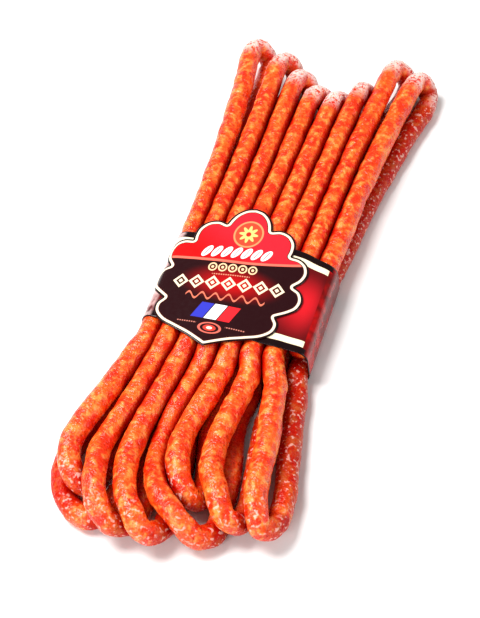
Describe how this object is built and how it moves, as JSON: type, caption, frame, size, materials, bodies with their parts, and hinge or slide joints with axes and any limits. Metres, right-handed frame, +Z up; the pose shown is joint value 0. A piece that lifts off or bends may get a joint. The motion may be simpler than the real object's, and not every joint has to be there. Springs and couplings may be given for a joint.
{
  "type": "cured sausage hank",
  "caption": "Hank of thin cured sausages folded into long loops and held round the middle by a glossy paper band with a scalloped label.",
  "frame": {"origin": "middle of the underside of the whole hank", "axes": "+Y along the hank towards the folds that hung on the smoking stick, +Z up through the label's face, +X across the hank"},
  "size_m": [0.152, 0.4248, 0.0331],
  "materials": {
    "sausage": "satin",
    "band": "gloss",
    "label": "gloss"
  },
  "bodies": {
    "root": {"sausage_1": "sausage", "sausage_2": "sausage", "sausage_3": "sausage", "sausage_4": "sausage", "sausage_5": "sausage", "sausage_6": "sausage", "sausage_7": "sausage", "band": "band", "label": "label"}
  },
  "joints": []
}
